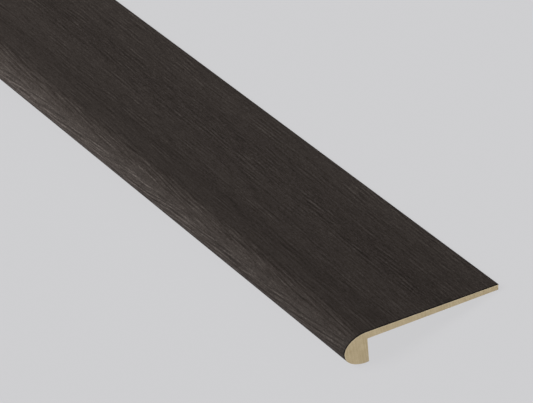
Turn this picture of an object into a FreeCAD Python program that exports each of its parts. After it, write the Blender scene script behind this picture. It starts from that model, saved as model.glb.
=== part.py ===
import FreeCAD, Part
import math
import os

import Sketcher

# Renovation stair tread: a board that is laid over an old step.
# A fibreboard panel, a little thinner at the back than at the front, ends in a tall elliptical
# nose, whose leg hangs down in front of the old step's edge. A thin oak decor film lies over
# the top and round the nose.
#
# The section is drawn as the tread lies once it is fitted: the first sketch direction is the
# depth, towards the riser, the second is up, and the origin is the notch corner, where the
# underside of the panel meets the back of the leg. The length runs along X.
# The finished pieces are then tipped back together until the tread rests as it does unheld on
# a level floor: on the heel of its leg and on the lower back edge of its panel.

# Driving dimensions, in millimetres
drivingSizes = {
    "treadLength": 1300.0,     # along the step
    "panelReach": 247.5,       # from the notch corner to the back edge
    "frontThickness": 12.5,    # panel core above the notch corner
    "backThickness": 9.5,      # panel core at the back edge
    "noseReach": 42.0,         # core in front of the notch corner
    "noseHeight": 55.0,        # core of the nose, from top to bottom
    "heelSetback": 4.0,        # heel behind the notch corner, the undercut of the leg
    "notchRadius": 1.0,        # left by the cutter in the notch corner
    "filmThickness": 0.5,      # decor film
}

doc = FreeCAD.newDocument("StairTread")
sizes = doc.addObject("Spreadsheet::Sheet", "Sizes")
for row, (name, value) in enumerate(drivingSizes.items(), start=1):
    sizes.set("A%d" % row, name)
    sizes.set("B%d" % row, str(value))
    sizes.setAlias("B%d" % row, name)
doc.recompute()

# Heights of the section's faces, for the first drawing of each sketch
coreTop = sizes.frontThickness
coreBottom = coreTop - sizes.noseHeight
filmTop = coreTop + sizes.filmThickness
filmBottom = coreBottom - sizes.filmThickness

# How a sketch counts an edge's ends and a curve's centre, and its own origin and upright axis
START, END, CENTRE = 1, 2, 3
ORIGIN = (-1, 1)
UPRIGHT = -2


def newSketch(body, name):
    """A section sketch, across the length, on the body's own YZ plane."""
    sketch = body.newObject("Sketcher::SketchObject", name)
    plane = [item for item in body.Origin.OriginFeatures if item.Role == "YZ_Plane"][0]
    sketch.AttachmentSupport = [(plane, "")]
    sketch.MapMode = "FlatFace"
    return sketch


def rule(sketch, kind, *items):
    return sketch.addConstraint(Sketcher.Constraint(kind, *items))


def measure(sketch, kind, start, end, size):
    """A distance from start to end, bound to a size in the sheet."""
    number = rule(sketch, kind, *start, *end, getattr(sizes, size))
    sketch.setExpression("Constraints[%d]" % number, "Sizes." + size)


def drawEdges(sketch, corners):
    """Straight edges from corner to corner, in depth and height, joined end to end."""
    points = [FreeCAD.Vector(depth, height, 0) for depth, height in corners]
    edges = []
    for start, end in zip(points, points[1:]):
        edges.append(sketch.addGeometry(Part.LineSegment(start, end), False))
    for first, second in zip(edges, edges[1:]):
        rule(sketch, "Coincident", first, END, second, START)
    return edges


def drawNose(sketch, reach, upper, lower):
    """The front half of an ellipse, from its top round to its bottom.

    Its centre and both ends stand in line with the notch corner, so it leaves the level
    faces above and below it without a kink. Gives the arc and the tip of its long axis.
    """
    centre = FreeCAD.Vector(0, (upper + lower) / 2, 0)
    ellipse = Part.Ellipse(centre + FreeCAD.Vector(reach, 0, 0), FreeCAD.Vector(0, upper, 0), centre)
    arc = sketch.addGeometry(Part.ArcOfEllipse(ellipse, math.pi / 2, 3 * math.pi / 2), False)
    sketch.exposeInternalGeometry(arc)
    longAxis = arc + 1
    rule(sketch, "Horizontal", longAxis)
    for place in (START, END, CENTRE):
        rule(sketch, "PointOnObject", arc, place, UPRIGHT)
    return arc, (longAxis, END)


def padAlongStep(body, sketch, name):
    """The section run out to both sides, to the tread's length."""
    pad = body.newObject("PartDesign::Pad", name)
    pad.Profile = sketch
    pad.SideType = "Symmetric"
    pad.setExpression("Length", "Sizes.treadLength")
    return pad


def makeCore():
    """Panel, nose and leg, milled from one board."""
    body = doc.addObject("PartDesign::Body", "tread_core")
    body.Label = "tread_core"
    sketch = newSketch(body, "core_section")
    topFace, backEdge, underside, legBack, foot = drawEdges(sketch, [
        (0, coreTop),
        (sizes.panelReach, coreTop),
        (sizes.panelReach, coreTop - sizes.backThickness),
        (0, 0),
        (sizes.heelSetback, coreBottom),
        (0, coreBottom),
    ])
    nose, noseTip = drawNose(sketch, sizes.noseReach, coreTop, coreBottom)
    rule(sketch, "Coincident", nose, START, topFace, START)
    rule(sketch, "Coincident", nose, END, foot, END)
    rule(sketch, "Coincident", underside, END, *ORIGIN)
    rule(sketch, "Horizontal", topFace)
    rule(sketch, "Horizontal", foot)
    rule(sketch, "Vertical", backEdge)
    measure(sketch, "DistanceX", ORIGIN, (topFace, END), "panelReach")
    measure(sketch, "DistanceY", ORIGIN, (topFace, START), "frontThickness")
    measure(sketch, "DistanceY", (backEdge, END), (backEdge, START), "backThickness")
    measure(sketch, "DistanceX", ORIGIN, (legBack, END), "heelSetback")
    measure(sketch, "DistanceY", (foot, END), (topFace, START), "noseHeight")
    measure(sketch, "DistanceX", noseTip, ORIGIN, "noseReach")
    pad = padAlongStep(body, sketch, "core_pad")
    doc.recompute()
    fillet = body.newObject("PartDesign::Fillet", "notch_fillet")
    fillet.Base = (pad, [edgeThrough(pad, FreeCAD.Vector(0, 0, 0))])
    fillet.setExpression("Radius", "Sizes.notchRadius")
    return body, sketch


def edgeThrough(feature, middle):
    """The name of the feature's edge whose middle lies at the given point."""
    tolerance = 0.001
    for number, edge in enumerate(feature.Shape.Edges, start=1):
        if (edge.CenterOfMass - middle).Length < tolerance:
            return "Edge%d" % number
    raise RuntimeError("no edge through %s" % middle)


def makeFilm():
    """Decor film, bonded over the top and round the nose as far as the leg's foot."""
    body = doc.addObject("PartDesign::Body", "decor_film")
    body.Label = "decor_film"
    sketch = newSketch(body, "film_section")
    outerFace, backEnd, innerFace = drawEdges(sketch, [
        (0, filmTop),
        (sizes.panelReach, filmTop),
        (sizes.panelReach, coreTop),
        (0, coreTop),
    ])
    footEnd = drawEdges(sketch, [(0, coreBottom), (0, filmBottom)])[0]
    innerNose, innerTip = drawNose(sketch, sizes.noseReach, coreTop, coreBottom)
    filmReach = sizes.noseReach + sizes.filmThickness
    outerNose, outerTip = drawNose(sketch, filmReach, filmTop, filmBottom)
    rule(sketch, "Coincident", innerNose, START, innerFace, END)
    rule(sketch, "Coincident", innerNose, END, footEnd, START)
    rule(sketch, "Coincident", outerNose, START, outerFace, START)
    rule(sketch, "Coincident", outerNose, END, footEnd, END)
    rule(sketch, "Horizontal", outerFace)
    rule(sketch, "Horizontal", innerFace)
    rule(sketch, "Vertical", backEnd)
    measure(sketch, "DistanceX", ORIGIN, (outerFace, END), "panelReach")
    measure(sketch, "DistanceY", ORIGIN, (innerFace, END), "frontThickness")
    measure(sketch, "DistanceY", (footEnd, START), (innerFace, END), "noseHeight")
    measure(sketch, "DistanceX", innerTip, ORIGIN, "noseReach")
    measure(sketch, "DistanceY", (innerFace, END), (outerFace, START), "filmThickness")
    measure(sketch, "DistanceX", outerTip, innerTip, "filmThickness")
    measure(sketch, "DistanceY", (footEnd, END), (footEnd, START), "filmThickness")
    padAlongStep(body, sketch, "film_pad")
    return body, sketch


def tipBackToRest(body):
    """Place a piece so that the heel and the lower back edge lie on the floor, at Z 0.

    The tread's foremost line is where its nose is steepest once it is tipped, and its
    rearmost line is the top back corner of the film; Y 0 is midway between them.
    """
    rise = "(Sizes.noseHeight - Sizes.backThickness)"
    run = "(Sizes.panelReach - Sizes.heelSetback)"
    tilt = "atan2(%s; %s)" % (rise, run)
    noseCentre = "(Sizes.frontThickness - Sizes.noseHeight / 2) * sin(%s)" % tilt
    reachPart = "((Sizes.noseReach + Sizes.filmThickness) * cos(%s))^2" % tilt
    heightPart = "((Sizes.noseHeight / 2 + Sizes.filmThickness) * sin(%s))^2" % tilt
    foremost = "(%s - sqrt(%s + %s))" % (noseCentre, reachPart, heightPart)
    backCorner = "Sizes.panelReach * cos(%s)" % tilt
    backTop = "(Sizes.frontThickness + Sizes.filmThickness) * sin(%s)" % tilt
    rearmost = "(%s + %s)" % (backCorner, backTop)
    heelDrop = "(Sizes.noseHeight - Sizes.frontThickness) * cos(%s)" % tilt
    heelLift = "Sizes.heelSetback * sin(%s)" % tilt
    place = "vector(0; -(%s + %s) / 2; %s + %s)" % (foremost, rearmost, heelDrop, heelLift)
    turn = "rotation(vector(1; 0; 0); -%s)" % tilt
    body.setExpression("Placement", "placement(%s; %s)" % (place, turn))


made = [makeCore(), makeFilm()]
pieces = [body for body, sketch in made]
for piece in pieces:
    tipBackToRest(piece)
doc.recompute()

# Nothing is written unless every feature was made and every piece is a sound solid
for body, sketch in made:
    if not sketch.FullyConstrained:
        raise RuntimeError("%s is not fully constrained" % sketch.Name)
for item in doc.Objects:
    if "Invalid" in item.State or "Error" in item.State:
        raise RuntimeError("%s failed: %s" % (item.Name, item.State))
for piece in pieces:
    if piece.Shape.isNull() or not piece.Shape.isValid():
        raise RuntimeError("%s has no sound shape" % piece.Label)

os.makedirs("parts", exist_ok=True)
for piece in pieces:
    box = piece.Shape.BoundBox
    piece.Shape.exportStep("parts/%s.step" % piece.Label)
    print("%s: %.0f mm3, X %.2f to %.2f, Y %.2f to %.2f, Z %.2f to %.2f" % (
        piece.Label, piece.Shape.Volume,
        box.XMin, box.XMax, box.YMin, box.YMax, box.ZMin, box.ZMax))
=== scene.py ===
import math

import bmesh
import bpy
from mathutils import Matrix, Vector, noise


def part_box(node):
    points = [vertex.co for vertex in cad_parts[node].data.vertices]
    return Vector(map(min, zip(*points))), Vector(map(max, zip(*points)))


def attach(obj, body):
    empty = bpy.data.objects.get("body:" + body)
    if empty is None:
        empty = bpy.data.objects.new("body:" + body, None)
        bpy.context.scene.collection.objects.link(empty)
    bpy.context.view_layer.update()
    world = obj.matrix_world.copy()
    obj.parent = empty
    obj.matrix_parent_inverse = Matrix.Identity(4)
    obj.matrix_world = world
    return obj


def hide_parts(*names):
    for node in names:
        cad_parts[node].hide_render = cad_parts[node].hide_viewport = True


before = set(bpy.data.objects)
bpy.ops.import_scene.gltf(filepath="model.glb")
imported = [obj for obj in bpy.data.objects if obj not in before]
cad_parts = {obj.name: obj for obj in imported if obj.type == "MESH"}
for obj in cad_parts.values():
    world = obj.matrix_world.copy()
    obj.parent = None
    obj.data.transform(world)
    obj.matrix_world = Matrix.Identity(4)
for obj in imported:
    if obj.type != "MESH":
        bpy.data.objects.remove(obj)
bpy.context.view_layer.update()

# Metres throughout. The section is drawn as the tread lies once fitted, with its top face level:
# Y is the depth towards the riser, Z is up, and 0, 0 is the notch where panel and leg meet.
tread = {
    "panelReach": 0.2475,        # notch to back edge
    "frontThickness": 0.0125,    # board above the notch
    "backThickness": 0.0095,     # board at the back edge
    "noseReach": 0.042,          # board in front of the notch
    "noseHeight": 0.055,
    "heelSetback": 0.004,        # undercut of the leg
    "filmThickness": 0.0005,
}
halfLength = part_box("tread_core")[1].x
boardBottom = tread["frontThickness"] - tread["noseHeight"]
noseMiddle = tread["frontThickness"] - tread["noseHeight"] / 2
filmTop = tread["frontThickness"] + tread["filmThickness"]
tolerance = 0.00001              # a hundredth of a millimetre
sharpAngle = math.radians(30)    # an edge that turns more stays crisp


def restMatrix():
    # Unheld, the tread tips back onto its heel and its lower back edge
    rise = tread["noseHeight"] - tread["backThickness"]
    run = tread["panelReach"] - tread["heelSetback"]
    turn = Matrix.Rotation(-math.atan2(rise, run), 4, "X")
    heel = turn @ Vector((0, tread["heelSetback"], boardBottom))
    backCorner = turn @ Vector((0, tread["panelReach"], filmTop))
    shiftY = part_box("decor_film")[1].y - backCorner.y
    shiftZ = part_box("tread_core")[0].z - heel.z
    return Matrix.Translation((0, shiftY, shiftZ)) @ turn


levelToRest = restMatrix()


def hexColour(code):
    # sRGB hex to the linear values that the shaders take
    parts = [int(code[i:i + 2], 16) / 255 for i in (1, 3, 5)]
    linear = [p / 12.92 if p <= 0.04045 else ((p + 0.055) / 1.055) ** 2.4 for p in parts]
    return (*linear, 1.0)


def addNode(tree, kind, settings, *inputs):
    # settings: the node's own properties, and inputs by name or number; inputs: its first ones in
    # order. Each input is a value or another node's socket.
    node = tree.nodes.new("ShaderNode" + kind)
    for name, value in (*settings.items(), *enumerate(inputs)):
        if isinstance(value, bpy.types.NodeSocket):
            tree.links.new(value, node.inputs[name])
        elif isinstance(name, int) or name in node.inputs:
            node.inputs[name].default_value = value
        else:
            setattr(node, name, value)
    return node


eased = {"interpolation_type": "SMOOTHSTEP"}    # for a Map Range, from 0 at its low value to 1 at its high


def newMaterial(name):
    material = bpy.data.materials.new(name)
    material.use_nodes = True
    material.node_tree.nodes.clear()
    return material, material.node_tree


def grain(tree, along, across, length, width, detail, roughness, seed):
    # Noise drawn out along the fibres: length and width of one streak, in metres
    inLengths = addNode(tree, "Math", {"operation": "DIVIDE"}, along, length).outputs[0]
    inWidths = addNode(tree, "Math", {"operation": "DIVIDE"}, across, width).outputs[0]
    place = addNode(tree, "CombineXYZ", {}, inLengths, inWidths, seed).outputs[0]
    return addNode(tree, "TexNoise", {
        "Vector": place, "Scale": 1.0, "Detail": detail, "Roughness": roughness}).outputs["Fac"]


def layer(tree, tone, pattern, weight):
    # Adds a pattern to a tone, weighted, without moving its mean
    centred = addNode(
        tree, "Math", {"operation": "MULTIPLY_ADD"}, pattern, weight, -weight / 2).outputs[0]
    return addNode(tree, "Math", {"operation": "ADD"}, centred, tone).outputs[0]


def finishMesh(bm, name, material):
    # Tips the level mesh back to rest, and shades it smooth between crisp edges
    bmesh.ops.transform(bm, matrix=levelToRest, verts=bm.verts)
    bmesh.ops.recalc_face_normals(bm, faces=bm.faces[:])
    for face in bm.faces:
        face.smooth = True
    for edge in bm.edges:
        edge.smooth = edge.calc_face_angle(0) < sharpAngle
    mesh = bpy.data.meshes.new(name)
    bm.to_mesh(mesh)
    bm.free()
    mesh.materials.append(material)
    piece = bpy.data.objects.new(name, mesh)
    bpy.context.scene.collection.objects.link(piece)
    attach(piece, "root")
    return piece


def drawNose(bm, reach, halfHeight, steps):
    # Front half of an ellipse in the level section, its points from the top down
    place = Matrix.Translation((-halfLength, 0, noseMiddle))
    place = place @ Matrix.Diagonal((1, reach, halfHeight, 1)) @ Matrix.Rotation(math.pi / 2, 4, "Y")
    bmesh.ops.create_circle(bm, cap_ends=False, segments=2 * steps, radius=1, matrix=place)
    bmesh.ops.bisect_plane(
        bm, geom=bm.verts[:] + bm.edges[:], dist=tolerance,
        plane_co=(0, 0, 0), plane_no=(0, 1, 0), clear_outer=True)
    return sorted(bm.verts, key=lambda vert: -vert.co.z)


def drawOn(bm, vert, depth, height):
    # One more straight edge of the outline, from vert
    new = bmesh.ops.extrude_vert_indiv(bm, verts=[vert])["verts"][0]
    new.co = (vert.co.x, depth, height)
    return new


# Melamine decor film printed with dark brown oak, pressed matt on an embossed plate: a very dark,
# dry, neutral brown with streaks only a little lighter, and almost no gloss. A place across the
# sheet is measured from where the top meets the nose: above 0 round the nose, below 0 back from it.
film = {
    "noseSteps": 140,           # facets round the nose
    "flatStep": 0.0008,         # depth of a facet on the top
    "lengthSteps": 200,
    "grooveDepth": 0.00004,
    "grooveSize": (0.045, 0.0024),      # length and width of a pressed groove
    "grooveLevels": (0.12, 0.50),       # noise where a groove begins, and where it is at full depth
    "grooveSeed": 2.5,

    "ink": "#352e2a",           # the print on the whole
    "inkLight": "#3a3532",      # its lightest streaks are a little greyer
    "cutEdge": "#0c0a09",       # the film's own edge, where it is sawn
    "dustedEdge": "#b9a885",    # under the nose that edge is as pale as the board
    "dustedFrom": (-0.0205, -0.0280),   # heights between which it turns pale
    "roughness": (0.72, 0.84),
    "ior": 1.5,
    "specular": 0.1,
    "reliefStrength": 0.5,
    "reliefHeight": 0.00005,

    # Course of the fibres
    "swingReach": 0.006,
    "quiverReach": 0.0012,
    "topSlant": 0.024,          # the straight grain drifts forward towards the near end
    "figureLine": 0.034,        # middle of the cathedral figure
    "figureTip": 0.0015,        # roundness of the arches' tips
    "figureSlant": 0.054,       # how fast the arches open, towards the far end
    "figureStart": (-0.004, 0.010),     # where the straight grain gives way to the figure
    "heart": (0.001, 0.008),    # and where it does beside the figure's middle line

    # Length and width of one streak in metres, detail, roughness and seed. A pixel of the render
    # spans 1.5 mm of the tread or more, so the narrowest are drawn wider than real, to show.
    "swing": (0.26, 0.07, 1.0, 0.55, 3.1),
    "quiver": (0.05, 0.012, 1.0, 0.55, 7.7),
    "broad": (0.45, 0.032, 1.0, 0.55, 11.0),
    "patch": (0.09, 0.02, 1.0, 0.55, 13.0),
    "line": (0.07, 0.0032, 1.0, 0.55, 19.0),        # lines between the growth lines, 3 mm wide
    "streak": (0.030, 0.0034, 2.0, 0.6, 17.0),
    "fleck": (0.0034, 0.0022, 1.0, 0.55, 27.0),     # rays, about 3 mm long
    "fine": (0.006, 0.0010, 2.0, 0.6, 23.0),        # fibres, many times as wide as real
    "ringBand": (0.12, 0.0032, 1.0, 0.55, 33.0),
    "ringStreak": (0.045, 0.0019, 2.0, 0.6, 37.0),
    "pore": (0.011, 0.0005, 0.0, 0.55, 41.0),       # about 10 mm long, and twice as wide as real

    # Growth lines: distance apart, length over which they waver, and seed
    "growth": (0.0070, 0.10, 29.0),
    "ring": (0.0064, 0.11, 31.0),
    "driftWidth": 3,            # lines that waver together
    "driftTurn": 10.0,          # how far they waver, in radians

    # How much each pattern counts in the tone
    "topWeights": {"growth": 0.20, "line": 0.35, "broad": 0.3, "streak": 1.05, "fleck": 0.8, "fine": 1.6},
    "noseWeights": {
        "broad": 0.4, "ring": 0.38, "ringBand": 1.1, "ringStreak": 2.1, "fleck": 0.8, "fine": 1.6},
    "patchLevels": (0.42, 0.66, 0.0, 2.4),      # noise from and to, and how bold the lines are there
    "poreLevels": (0.62, 0.70),
    "poreDark": 0.50,
    "poreSunk": 0.8,            # depth of a pore, in grooves
    "grooveDark": 0.15,

    # Broad bands along the sheet: place, half width, and how much darker, or lighter where below 0. The
    # first is painted light
    "darkBands": (
        # painted light: the lower nose is lighter towards its outline, as a low light in front makes it
        (0.062, 0.016, -0.12),
        (0.004, 0.010, 0.07),
        (-0.036, 0.020, 0.12),
        (-0.146, 0.028, 0.12),
        (-0.25, 0.09, -0.08),
    ),
    # Place, half width, and how much bolder the grain is, or calmer where below 0
    "boldBands": (
        (0.050, 0.018, 0.25),
        (-0.012, 0.045, -0.22),
        (-0.138, 0.045, 0.28),
    ),
    "nearEnd": (0.25, 0.60),    # along the length: where the near end's painted shade and calmer figure start, and are full
    "nearPaintedShade": 0.05,           # painted shade: it is darker, as the light falls off towards the near end
    "nearCalm": 0.16,           # and its figure is calmer
    "scorch": (0.0025, 0.0008), # how far in from a sawn end the saw's heat starts to show, and is full
    "scorchDark": 1.2,
}


def growthLines(tree, along, across, pitch, length, seed):
    # Lines about a pitch apart, that waver, part and join over a length
    drift = grain(tree, along, across, length, film["driftWidth"] * pitch, 1.0, 0.55, seed)
    drift = addNode(tree, "Math", {"operation": "MULTIPLY"}, drift, film["driftTurn"]).outputs[0]
    turn = addNode(
        tree, "Math", {"operation": "MULTIPLY_ADD"}, across, 2 * math.pi / pitch, drift).outputs[0]
    wave = addNode(tree, "Math", {"operation": "SINE"}, turn).outputs[0]
    return addNode(tree, "Math", {"operation": "MULTIPLY_ADD"}, wave, 0.5, 0.5).outputs[0]


def topTone(tree, along, straight, shared):
    # Growth lines and streaks of the plain top; the lines are bold in some patches, calm in others
    weights = film["topWeights"]
    growth = growthLines(tree, along, straight, *film["growth"])
    line = grain(tree, along, straight, *film["line"])
    lines = layer(tree, layer(tree, 0.0, growth, weights["growth"]), line, weights["line"])
    patch = grain(tree, along, straight, *film["patch"])
    patch = addNode(tree, "MapRange", {}, patch, *film["patchLevels"]).outputs[0]
    tone = addNode(tree, "Math", {"operation": "MULTIPLY"}, lines, patch).outputs[0]
    for name, pattern in shared.items():
        tone = layer(tree, tone, pattern, weights[name])
    return tone


def noseTone(tree, along, fromLine, near, shared):
    # Cathedral figure: rings that arch about its middle line and point to the near end
    squared = addNode(
        tree, "Math", {"operation": "MULTIPLY_ADD"}, fromLine, fromLine, film["figureTip"] ** 2).outputs[0]
    arch = addNode(tree, "Math", {"operation": "SQRT"}, squared).outputs[0]
    arch = addNode(
        tree, "Math", {"operation": "MULTIPLY_ADD"}, along, film["figureSlant"], arch).outputs[0]
    patterns = {
        "broad": shared["broad"],
        "ring": growthLines(tree, along, arch, *film["ring"]),
        "ringBand": grain(tree, along, arch, *film["ringBand"]),
        "ringStreak": grain(tree, along, arch, *film["ringStreak"]),
        "fleck": shared["fleck"],
        "fine": shared["fine"],
    }
    tone = 0.0
    for name, pattern in patterns.items():
        tone = layer(tree, tone, pattern, film["noseWeights"][name])
    bold = addNode(tree, "Math", {"operation": "MULTIPLY_ADD"}, near, -film["nearCalm"], 1.0).outputs[0]
    return addNode(tree, "Math", {"operation": "MULTIPLY"}, tone, bold).outputs[0]


def bandAt(tree, across, middle, reach):
    # 1 along the middle of a broad band, easing to 0 at its edges
    offset = addNode(tree, "Math", {"operation": "SUBTRACT"}, across, middle).outputs[0]
    away = addNode(tree, "Math", {"operation": "ABSOLUTE"}, offset).outputs[0]
    return addNode(tree, "MapRange", eased, away, reach, 0.0).outputs[0]


def inkColour(tree, tone, cut):
    # The tone, with its painted light and shade, deepens or thins the ink; the film's cut edge is nearly
    # black, or dusted
    share = addNode(tree, "Math", {"operation": "ADD"}, tone, 0.5).outputs[0]
    ink = addNode(tree, "Mix", {
        "data_type": "RGBA", 0: share,
        6: hexColour(film["ink"]), 7: hexColour(film["inkLight"])}).outputs[2]
    strength = addNode(tree, "Math", {"operation": "EXPONENT"}, tone).outputs[0]
    printed = addNode(tree, "VectorMath", {"operation": "SCALE", "Scale": strength}, ink).outputs[0]
    edged = addNode(tree, "Mix", {
        "data_type": "RGBA", 0: cut, 6: printed, 7: hexColour(film["cutEdge"])}).outputs[2]
    dusted = addNode(tree, "Math", {"operation": "SUBTRACT"}, cut, 1.0).outputs[0]
    return addNode(tree, "Mix", {
        "data_type": "RGBA", 0: dusted, 6: edged, 7: hexColour(film["dustedEdge"])}).outputs[2]


def makeOakPrintWithPaintedLight():
    # The print's colour also holds painted shade at the near end and painted light on the lower nose
    material, tree = newMaterial("matt melamine film, dark oak print")
    place = addNode(tree, "TexCoord", {}).outputs["Object"]
    along = addNode(tree, "SeparateXYZ", {}, place).outputs["X"]
    across = addNode(tree, "Attribute", {"attribute_name": "run"}).outputs["Fac"]
    groove = addNode(tree, "Attribute", {"attribute_name": "groove"}).outputs["Fac"]
    cut = addNode(tree, "Attribute", {"attribute_name": "cutEdge"}).outputs["Fac"]
    near = addNode(tree, "MapRange", eased, along, *film["nearEnd"]).outputs[0]

    # The fibres waver: a long swing and a short quiver
    swing = grain(tree, along, across, *film["swing"])
    quiver = grain(tree, along, across, *film["quiver"])
    sway = layer(tree, across, swing, 2 * film["swingReach"])
    sway = layer(tree, sway, quiver, 2 * film["quiverReach"])
    straight = addNode(
        tree, "Math", {"operation": "MULTIPLY_ADD"}, along, -film["topSlant"], sway).outputs[0]
    fromLine = addNode(tree, "Math", {"operation": "SUBTRACT"}, sway, film["figureLine"]).outputs[0]

    # Straight grain on the top and along the figure's middle line, and the figure round the nose
    shared = {
        name: grain(tree, along, straight, *film[name]) for name in ("broad", "streak", "fleck", "fine")}
    top = topTone(tree, along, straight, shared)
    nose = noseTone(tree, along, fromLine, near, shared)
    fromHeart = addNode(tree, "Math", {"operation": "ABSOLUTE"}, fromLine).outputs[0]
    offHeart = addNode(tree, "MapRange", eased, fromHeart, *film["heart"]).outputs[0]
    onNose = addNode(tree, "MapRange", eased, across, *film["figureStart"]).outputs[0]
    figure = addNode(tree, "Math", {"operation": "MULTIPLY"}, onNose, offHeart).outputs[0]
    tone = addNode(tree, "Mix", {"data_type": "FLOAT", 0: figure, 2: top, 3: nose}).outputs[0]

    bold = 1.0
    for middle, reach, gain in film["boldBands"]:
        inBand = bandAt(tree, sway, middle, reach)
        bold = addNode(tree, "Math", {"operation": "MULTIPLY_ADD"}, inBand, gain, bold).outputs[0]
    tone = addNode(tree, "Math", {"operation": "MULTIPLY"}, tone, bold).outputs[0]
    # The first band is painted light on the lower nose
    for middle, reach, dark in film["darkBands"]:
        inBand = bandAt(tree, sway, middle, reach)
        tone = addNode(tree, "Math", {"operation": "MULTIPLY_ADD"}, inBand, -dark, tone).outputs[0]

    # Pores are short dark ticks, grooves are a little darker than the land, painted shade makes the near
    # end a little darker than the rest, and the saw's heat has darkened the print along both cut ends
    pore = grain(tree, along, straight, *film["pore"])
    pore = addNode(tree, "MapRange", eased, pore, *film["poreLevels"]).outputs[0]
    fromMiddle = addNode(tree, "Math", {"operation": "ABSOLUTE"}, along).outputs[0]
    toEnd = addNode(tree, "Math", {"operation": "SUBTRACT"}, halfLength, fromMiddle).outputs[0]
    scorch = addNode(tree, "MapRange", eased, toEnd, *film["scorch"]).outputs[0]
    for shade, dark in (
            (pore, film["poreDark"]), (groove, film["grooveDark"]),
            (near, film["nearPaintedShade"]), (scorch, film["scorchDark"])):
        tone = addNode(tree, "Math", {"operation": "MULTIPLY_ADD"}, shade, -dark, tone).outputs[0]

    sunk = addNode(tree, "Math", {"operation": "MULTIPLY"}, pore, film["poreSunk"]).outputs[0]
    sunk = addNode(tree, "Math", {"operation": "MAXIMUM"}, sunk, groove).outputs[0]
    height = addNode(tree, "Math", {"operation": "MULTIPLY_ADD"}, sunk, -1.0, shared["fine"]).outputs[0]
    bump = addNode(tree, "Bump", {
        "Strength": film["reliefStrength"], "Distance": film["reliefHeight"], "Height": height})
    gloss = addNode(tree, "MapRange", {
        "Value": shared["streak"], "To Min": film["roughness"][0], "To Max": film["roughness"][1]})
    shader = addNode(tree, "BsdfPrincipled", {
        "Base Color": inkColour(tree, tone, cut), "Roughness": gloss.outputs[0],
        "IOR": film["ior"], "Specular IOR Level": film["specular"], "Normal": bump.outputs[0]})
    addNode(tree, "OutputMaterial", {"Surface": shader.outputs[0]})
    return material


def grooveAt(along, across):
    # 0 on the land, 1 in the bottom of a pressed groove, at a place on the wrapped sheet
    swingLength, swingWidth, *_, swingSeed = film["swing"]
    swing = noise.noise(Vector((along / swingLength, across / swingWidth, swingSeed)))
    lane = across + film["swingReach"] * swing
    if across > film["figureStart"][0]:
        lane = math.hypot(lane - film["figureLine"], film["figureTip"]) + film["figureSlant"] * along
    else:
        lane -= film["topSlant"] * along
    length, width = film["grooveSize"]
    low, high = film["grooveLevels"]
    here = Vector((along / length, lane / width, film["grooveSeed"]))
    level = (noise.noise(here) - low) / (high - low)
    level = min(max(level, 0), 1)
    return level * level * (3 - 2 * level)


def dustedAt(height):
    # 0 where a sawn end's dark line shows, 1 where dust hides it, at a height in the level section
    fadeStart, fadeEnd = film["dustedFrom"]
    return min(max((fadeStart - height) / (fadeStart - fadeEnd), 0), 1)


def drawFilmOutline(bm, runLayer):
    # The printed side of the section; each point keeps its place across the sheet
    reach = tread["noseReach"] + tread["filmThickness"]
    halfHeight = tread["noseHeight"] / 2 + tread["filmThickness"]
    outline = drawNose(bm, reach, halfHeight, film["noseSteps"])
    for before, after in zip(outline, outline[1:]):
        after[runLayer] = before[runLayer] + (after.co - before.co).length
    drawOn(bm, outline[0], tread["panelReach"], filmTop)
    flat = [edge for edge in bm.edges if edge.calc_length() > tread["panelReach"] / 2]
    cuts = round(tread["panelReach"] / film["flatStep"]) - 1
    bmesh.ops.subdivide_edges(bm, edges=flat, cuts=cuts)
    for vert in bm.verts:
        if vert.co.y > 0:
            vert[runLayer] = -vert.co.y


def runOut(bm):
    # The printed side, run out along the length and facing out
    stepAlong = 2 * halfLength / film["lengthSteps"]
    bmesh.ops.spin(
        bm, geom=bm.edges[:], cent=(0, 0, 0), axis=(1, 0, 0), dvec=(stepAlong, 0, 0),
        angle=0, steps=film["lengthSteps"])
    bmesh.ops.recalc_face_normals(bm, faces=bm.faces[:])
    bm.normal_update()
    if max(bm.faces, key=lambda face: face.calc_center_median().y).normal.z < 0:
        bmesh.ops.reverse_faces(bm, faces=bm.faces[:])
        bm.normal_update()


def addThickness(bm):
    # The sheet's thickness at its ends, then its inner side and its two long edges
    ends = [edge for edge in bm.edges
            if all(abs(abs(vert.co.x) - halfLength) < tolerance for vert in edge.verts)]
    made = bmesh.ops.extrude_edge_only(bm, edges=ends)["geom"]
    innerVerts = {item for item in made if isinstance(item, bmesh.types.BMVert)}
    innerEdges = [item for item in made if isinstance(item, bmesh.types.BMEdge)]
    for vert in innerVerts:
        partner = [edge.other_vert(vert) for edge in vert.link_edges
                   if edge.other_vert(vert) not in innerVerts][0]
        vert.co = vert.co - tread["filmThickness"] * partner.normal
    bmesh.ops.bridge_loops(bm, edges=innerEdges)
    bmesh.ops.holes_fill(bm, edges=[edge for edge in bm.edges if edge.is_boundary], sides=0)


def makeFilmPiece():
    bm = bmesh.new()
    runLayer = bm.verts.layers.float.new("run")
    grooveLayer = bm.verts.layers.float.new("groove")
    cutLayer = bm.faces.layers.float.new("cutEdge")
    drawFilmOutline(bm, runLayer)
    runOut(bm)
    outer = [(vert, vert.normal.copy()) for vert in bm.verts]
    outerFaces = bm.faces[:]
    addThickness(bm)

    # cutEdge is 0 on the printed face, 1 on a dark cut edge and 2 on a dusted one
    for face in bm.faces:
        face[cutLayer] = 1 + dustedAt(face.calc_center_median().z)
    for face in outerFaces:
        face[cutLayer] = 0
    for vert, normal in outer:
        depth = grooveAt(vert.co.x, vert[runLayer])
        vert[grooveLayer] = depth
        vert.co = vert.co - normal * depth * film["grooveDepth"]
    piece = finishMesh(bm, "oak_film", makeOakPrintWithPaintedLight())
    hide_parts("decor_film")
    return piece


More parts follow.
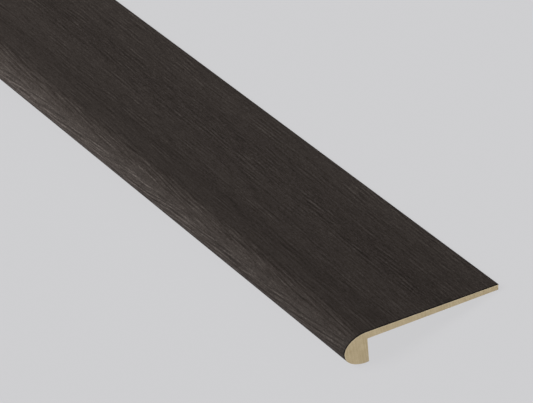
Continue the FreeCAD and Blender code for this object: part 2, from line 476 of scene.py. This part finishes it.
# Medium density fibreboard, sawn to length and moulded to shape: a dry, even, light tan with
# short wood fibres, and saw marks across the sawn ends.
core = {
    "noseSteps": 96,
    "notchRadius": 0.001,
    "notchSteps": 5,
    "easedEdge": 0.0003,
    "easedSteps": 3,
    "rimWidth": 0.002,          # strip beside the film on the sawn ends

    "fibreDark": "#a38f6b",
    "fibreLight": "#d1c2a2",
    "glue": "#2e2723",
    "roughness": 0.9,
    "ior": 1.5,
    "specular": 0.2,
    "reliefStrength": 0.5,
    "reliefHeight": 0.00012,
    "markRelief": 0.8,          # depth of a saw mark, in fibres

    # Length and width of one in metres, detail, roughness and seed. Fibres are 2 to 3 mm long,
    # and drawn some ten times as wide as real, to show.
    "lyingFibre": (0.0024, 0.0005, 2.0, 0.55, 1.5),
    "endedFibre": (0.0024, 0.0005, 2.0, 0.55, 2.5),
    "bladeMark": (0.05, 0.0028, 2.0, 0.55, 5.0),
    "cutterMark": (0.4, 0.002, 2.0, 0.55, 9.0),
    "cutterLevels": (0.4, 0.3),     # contrast of the cutter marks, and their darkest tone
    "cloudScale": 90.0,             # clouds 11 mm across
    "fleckScale": 900.0,            # flecks 1.1 mm across

    # How much each pattern counts in the tone, and how pale the strip beside the film is
    "weights": {"cloud": 0.5, "fibre": 0.35, "fleck": 0.6, "mark": 0.7},
    "stripPale": 0.38,
    "stripFrom": (0.0, 0.5),     # across the rim strip: where the pale strip starts, and is full
    "glueFrom": (0.74, 0.84),   # the same for the dark glue line
    "sawnFrom": (0.4, 0.7),     # how squarely a face looks along the length, to be a sawn end
}


def makeFibreboard():
    material, tree = newMaterial("raw medium density fibreboard")
    spot = addNode(tree, "TexCoord", {}).outputs["Object"]
    place = addNode(tree, "SeparateXYZ", {}, spot)
    x, y, z = place.outputs["X"], place.outputs["Y"], place.outputs["Z"]
    cloud = addNode(tree, "TexNoise", {
        "Vector": spot, "Scale": core["cloudScale"], "Detail": 3.0}).outputs["Fac"]
    fleck = addNode(tree, "TexNoise", {
        "Vector": spot, "Scale": core["fleckScale"], "Detail": 2.0, "Roughness": 0.7}).outputs["Fac"]

    # Fibres lie flat in the board, and show as short dashes on its sawn ends. Blade marks run up
    # those ends, and fainter cutter marks run along the milled faces
    normal = addNode(tree, "NewGeometry", {}).outputs["Normal"]
    facing = addNode(tree, "SeparateXYZ", {}, normal).outputs["X"]
    facing = addNode(tree, "Math", {"operation": "ABSOLUTE"}, facing).outputs[0]
    sawnEnd = addNode(tree, "MapRange", eased, facing, *core["sawnFrom"]).outputs[0]
    lying = grain(tree, x, z, *core["lyingFibre"])
    ended = grain(tree, y, z, *core["endedFibre"])
    fibre = addNode(tree, "Mix", {"data_type": "FLOAT", 0: sawnEnd, 2: lying, 3: ended}).outputs[0]
    acrossFaces = addNode(tree, "Math", {"operation": "ADD"}, y, z).outputs[0]
    cutterMark = grain(tree, x, acrossFaces, *core["cutterMark"])
    cutterMark = addNode(
        tree, "Math", {"operation": "MULTIPLY_ADD"}, cutterMark, *core["cutterLevels"]).outputs[0]
    bladeMark = grain(tree, z, y, *core["bladeMark"])
    mark = addNode(tree, "Mix", {
        "data_type": "FLOAT", 0: sawnEnd, 2: cutterMark, 3: bladeMark}).outputs[0]

    # Beside the film a sawn end has a thin dark glue line, and a pale strip
    rim = addNode(tree, "Attribute", {"attribute_name": "rim"}).outputs["Fac"]
    rim = addNode(tree, "Math", {"operation": "MULTIPLY"}, rim, sawnEnd).outputs[0]
    dusted = addNode(tree, "Attribute", {"attribute_name": "dusted"}).outputs["Fac"]
    clean = addNode(tree, "Math", {"operation": "SUBTRACT"}, 1.0, dusted).outputs[0]
    paleStrip = addNode(tree, "MapRange", eased, rim, *core["stripFrom"]).outputs[0]
    paleStrip = addNode(tree, "Math", {"operation": "MULTIPLY"}, paleStrip, clean).outputs[0]
    glueLine = addNode(tree, "MapRange", eased, rim, *core["glueFrom"]).outputs[0]
    glueLine = addNode(tree, "Math", {"operation": "MULTIPLY"}, glueLine, clean).outputs[0]

    # The board is, on the whole, half way between the dark and the light fibre
    weights = core["weights"]
    tone = 0.5 - 0.5 * sum(weights.values())
    for pattern, weight in (
            (cloud, weights["cloud"]), (paleStrip, core["stripPale"]), (fibre, weights["fibre"]),
            (fleck, weights["fleck"]), (mark, weights["mark"])):
        tone = addNode(tree, "Math", {"operation": "MULTIPLY_ADD"}, pattern, weight, tone).outputs[0]
    colour = addNode(tree, "Mix", {
        "data_type": "RGBA", 0: tone,
        6: hexColour(core["fibreDark"]), 7: hexColour(core["fibreLight"])}).outputs[2]
    colour = addNode(tree, "Mix", {
        "data_type": "RGBA", 0: glueLine, 6: colour, 7: hexColour(core["glue"])}).outputs[2]
    height = addNode(tree, "Math", {"operation": "ADD"}, fleck, fibre).outputs[0]
    height = addNode(
        tree, "Math", {"operation": "MULTIPLY_ADD"}, mark, core["markRelief"], height).outputs[0]
    bump = addNode(tree, "Bump", {
        "Strength": core["reliefStrength"], "Distance": core["reliefHeight"], "Height": height})
    shader = addNode(tree, "BsdfPrincipled", {
        "Base Color": colour, "Roughness": core["roughness"],
        "IOR": core["ior"], "Specular IOR Level": core["specular"], "Normal": bump.outputs[0]})
    addNode(tree, "OutputMaterial", {"Surface": shader.outputs[0]})
    return material


def edgesAlong(bm, *corners):
    # The edges that run along the length at corners of the level section
    return [
        edge for edge in bm.edges for depth, height in corners
        if all(math.hypot(vert.co.y - depth, vert.co.z - height) < tolerance for vert in edge.verts)]


def makeCorePiece():
    bm = bmesh.new()
    rimLayer = bm.verts.layers.float.new("rim")
    dustedLayer = bm.verts.layers.float.new("dusted")
    outline = drawNose(bm, tread["noseReach"], tread["noseHeight"] / 2, core["noseSteps"])
    upperBack = (tread["panelReach"], tread["frontThickness"])
    lowerBack = (tread["panelReach"], tread["frontThickness"] - tread["backThickness"])
    notch = (0, 0)
    heel = (tread["heelSetback"], boardBottom)
    last = outline[0]
    for corner in (upperBack, lowerBack, notch, heel):
        last = drawOn(bm, last, *corner)
    bm.edges.new((last, outline[-1]))
    bmesh.ops.contextual_create(bm, geom=bm.edges[:])
    made = bmesh.ops.extrude_face_region(bm, geom=bm.faces[:])["geom"]
    farVerts = [item for item in made if isinstance(item, bmesh.types.BMVert)]
    bmesh.ops.translate(bm, verts=farVerts, vec=(2 * halfLength, 0, 0))
    bmesh.ops.recalc_face_normals(bm, faces=bm.faces[:])
    ends = [face for face in bm.faces if len(face.verts) > 4]
    bmesh.ops.inset_region(bm, faces=ends, thickness=core["rimWidth"], use_even_offset=True)
    middle = {vert for face in ends for vert in face.verts}
    bmesh.ops.bevel(
        bm, geom=edgesAlong(bm, notch), offset=core["notchRadius"], affect="EDGES",
        segments=core["notchSteps"], profile=0.5, material=-1)
    bmesh.ops.bevel(
        bm, geom=edgesAlong(bm, heel, lowerBack), offset=core["easedEdge"], affect="EDGES",
        segments=core["easedSteps"], profile=0.5, material=-1)
    for vert in bm.verts:
        besideFilm = vert.co.z > tread["frontThickness"] / 2 or vert.co.y < -core["rimWidth"]
        vert[rimLayer] = 1 if besideFilm and vert not in middle else 0
        vert[dustedLayer] = dustedAt(vert.co.z)
    piece = finishMesh(bm, "fibreboard_core", makeFibreboard())
    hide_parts("tread_core")
    return piece


floor = {"radius": 30.0, "segments": 96, "colour": "#d0d0d2", "flatShare": 0.92}


def makeFloor():
    # A pale floor: part of it shows at its own colour whatever the light, so the shadow stays faint
    bm = bmesh.new()
    bmesh.ops.create_circle(bm, cap_ends=True, segments=floor["segments"], radius=floor["radius"])
    mesh = bpy.data.meshes.new("studio_floor")
    bm.to_mesh(mesh)
    bm.free()
    material, tree = newMaterial("pale studio floor")
    path = addNode(tree, "LightPath", {}).outputs
    seen = path["Is Camera Ray"]
    for other in ("Is Glossy Ray", "Is Transmission Ray"):
        seen = addNode(tree, "Math", {"operation": "MAXIMUM"}, seen, path[other]).outputs[0]
    share = addNode(tree, "Math", {"operation": "MULTIPLY"}, seen, floor["flatShare"]).outputs[0]
    matt = addNode(tree, "BsdfDiffuse", {"Color": hexColour(floor["colour"])}).outputs[0]
    glow = addNode(tree, "Emission", {"Color": hexColour(floor["colour"]), "Strength": 1.0}).outputs[0]
    blend = addNode(tree, "MixShader", {}, share, matt, glow)
    addNode(tree, "OutputMaterial", {"Surface": blend.outputs[0]})
    mesh.materials.append(material)
    ground = bpy.data.objects.new("studio_floor", mesh)
    bpy.context.scene.collection.objects.link(ground)


# Each sun's direction is where its light comes from, in the level section's frame; strength 1
# lights a white face square to it to white. The lamp stands beyond the far end, in front of the
# nose, lights the tread alone and fades towards the near end.
suns = {
    "key": {"from": (-0.30, -0.76, 0.58), "strength": 0.76, "spread": 30},
    "endFill": {"from": (0.97, -0.10, 0.20), "strength": 0.57, "spread": 40},
    "backFill": {"from": (-0.2, 0.9, 0.38), "strength": 0.12, "spread": 60},
}
noseLamp = {"at": (-1.2, -1.2, 0.65), "towards": (-0.2, -0.1, 0.03), "power": 21.5, "size": 0.8}
worldLight = 0.12


def placeLight(light, name, matrix):
    holder = bpy.data.objects.new(name, light)
    bpy.context.scene.collection.objects.link(holder)
    holder.matrix_world = matrix
    return holder


def makeLamps(pieces):
    for name, sun in suns.items():
        light = bpy.data.lights.new(name, "SUN")
        light.energy = sun["strength"] * math.pi
        light.angle = math.radians(sun["spread"])
        direction = levelToRest.to_3x3() @ Vector(sun["from"])
        placeLight(light, name, direction.to_track_quat("Z", "Y").to_matrix().to_4x4())
    light = bpy.data.lights.new("noseLamp", "AREA")
    light.shape = "DISK"
    light.size = noseLamp["size"]
    light.energy = noseLamp["power"]
    place = Vector(noseLamp["at"])
    turn = (place - Vector(noseLamp["towards"])).to_track_quat("Z", "Y").to_matrix().to_4x4()
    lamp = placeLight(light, "noseLamp", Matrix.Translation(place) @ turn)
    lamp.visible_camera = False
    treadOnly = bpy.data.collections.new("treadOnly")
    for piece in pieces:
        treadOnly.objects.link(piece)
    lamp.light_linking.receiver_collection = treadOnly


def makeWorld():
    # Soft light from all round, and the floor's colour where the camera looks past the floor
    world = bpy.data.worlds.new("studio")
    bpy.context.scene.world = world
    world.use_nodes = True
    tree = world.node_tree
    tree.nodes.clear()
    path = addNode(tree, "LightPath", {}).outputs
    seen = addNode(
        tree, "Math", {"operation": "MAXIMUM"},
        path["Is Camera Ray"], path["Is Transmission Ray"]).outputs[0]
    ambient = addNode(tree, "Background", {"Color": (1, 1, 1, 1), "Strength": worldLight}).outputs[0]
    shown = addNode(tree, "Background", {
        "Color": hexColour(floor["colour"]), "Strength": 1.0}).outputs[0]
    blend = addNode(tree, "MixShader", {}, seen, ambient, shown)
    addNode(tree, "OutputWorld", {"Surface": blend.outputs[0]})


# The view, in the level section's frame: the near end's notch stands on one pixel of the picture
view = {
    "azimuth": 56.811,
    "elevation": 30.551,
    "imageSize": (533, 403),
    "focalPixels": 3356.4,
    "notchPixel": (367.35, 338.52),
    "notchDistance": 5.1073,
    "sensorWidth": 36.0,        # in millimetres, as a camera takes it
    "clipEnd": 200,
}


def makeCamera():
    azimuth, elevation = math.radians(view["azimuth"]), math.radians(view["elevation"])
    forward = Vector((
        -math.sin(azimuth) * math.cos(elevation),
        math.cos(azimuth) * math.cos(elevation),
        -math.sin(elevation)))
    right = Vector((math.cos(azimuth), math.sin(azimuth), 0))
    up = right.cross(forward)
    width, height = view["imageSize"]
    scale = view["notchDistance"] / view["focalPixels"]
    aside = (view["notchPixel"][0] - width / 2) * scale
    below = (view["notchPixel"][1] - height / 2) * scale
    notch = Vector((halfLength, 0, 0))
    place = notch - forward * view["notchDistance"] - right * aside + up * below
    data = bpy.data.cameras.new("camera")
    data.sensor_fit = "HORIZONTAL"
    data.sensor_width = view["sensorWidth"]
    data.lens = view["focalPixels"] / width * view["sensorWidth"]
    data.clip_end = view["clipEnd"]
    camera = bpy.data.objects.new("camera", data)
    bpy.context.scene.collection.objects.link(camera)
    axes = Matrix((right, up, -forward)).transposed().to_4x4()
    camera.matrix_world = levelToRest @ Matrix.Translation(place) @ axes
    bpy.context.scene.camera = camera


makeCamera()
print("camera placed")
board = makeCorePiece()
print("board made")
skin = makeFilmPiece()
print("film made")
makeFloor()
makeLamps([board, skin])
makeWorld()
print("floor and lights placed")

bpy.context.scene.view_settings.view_transform = "Standard"
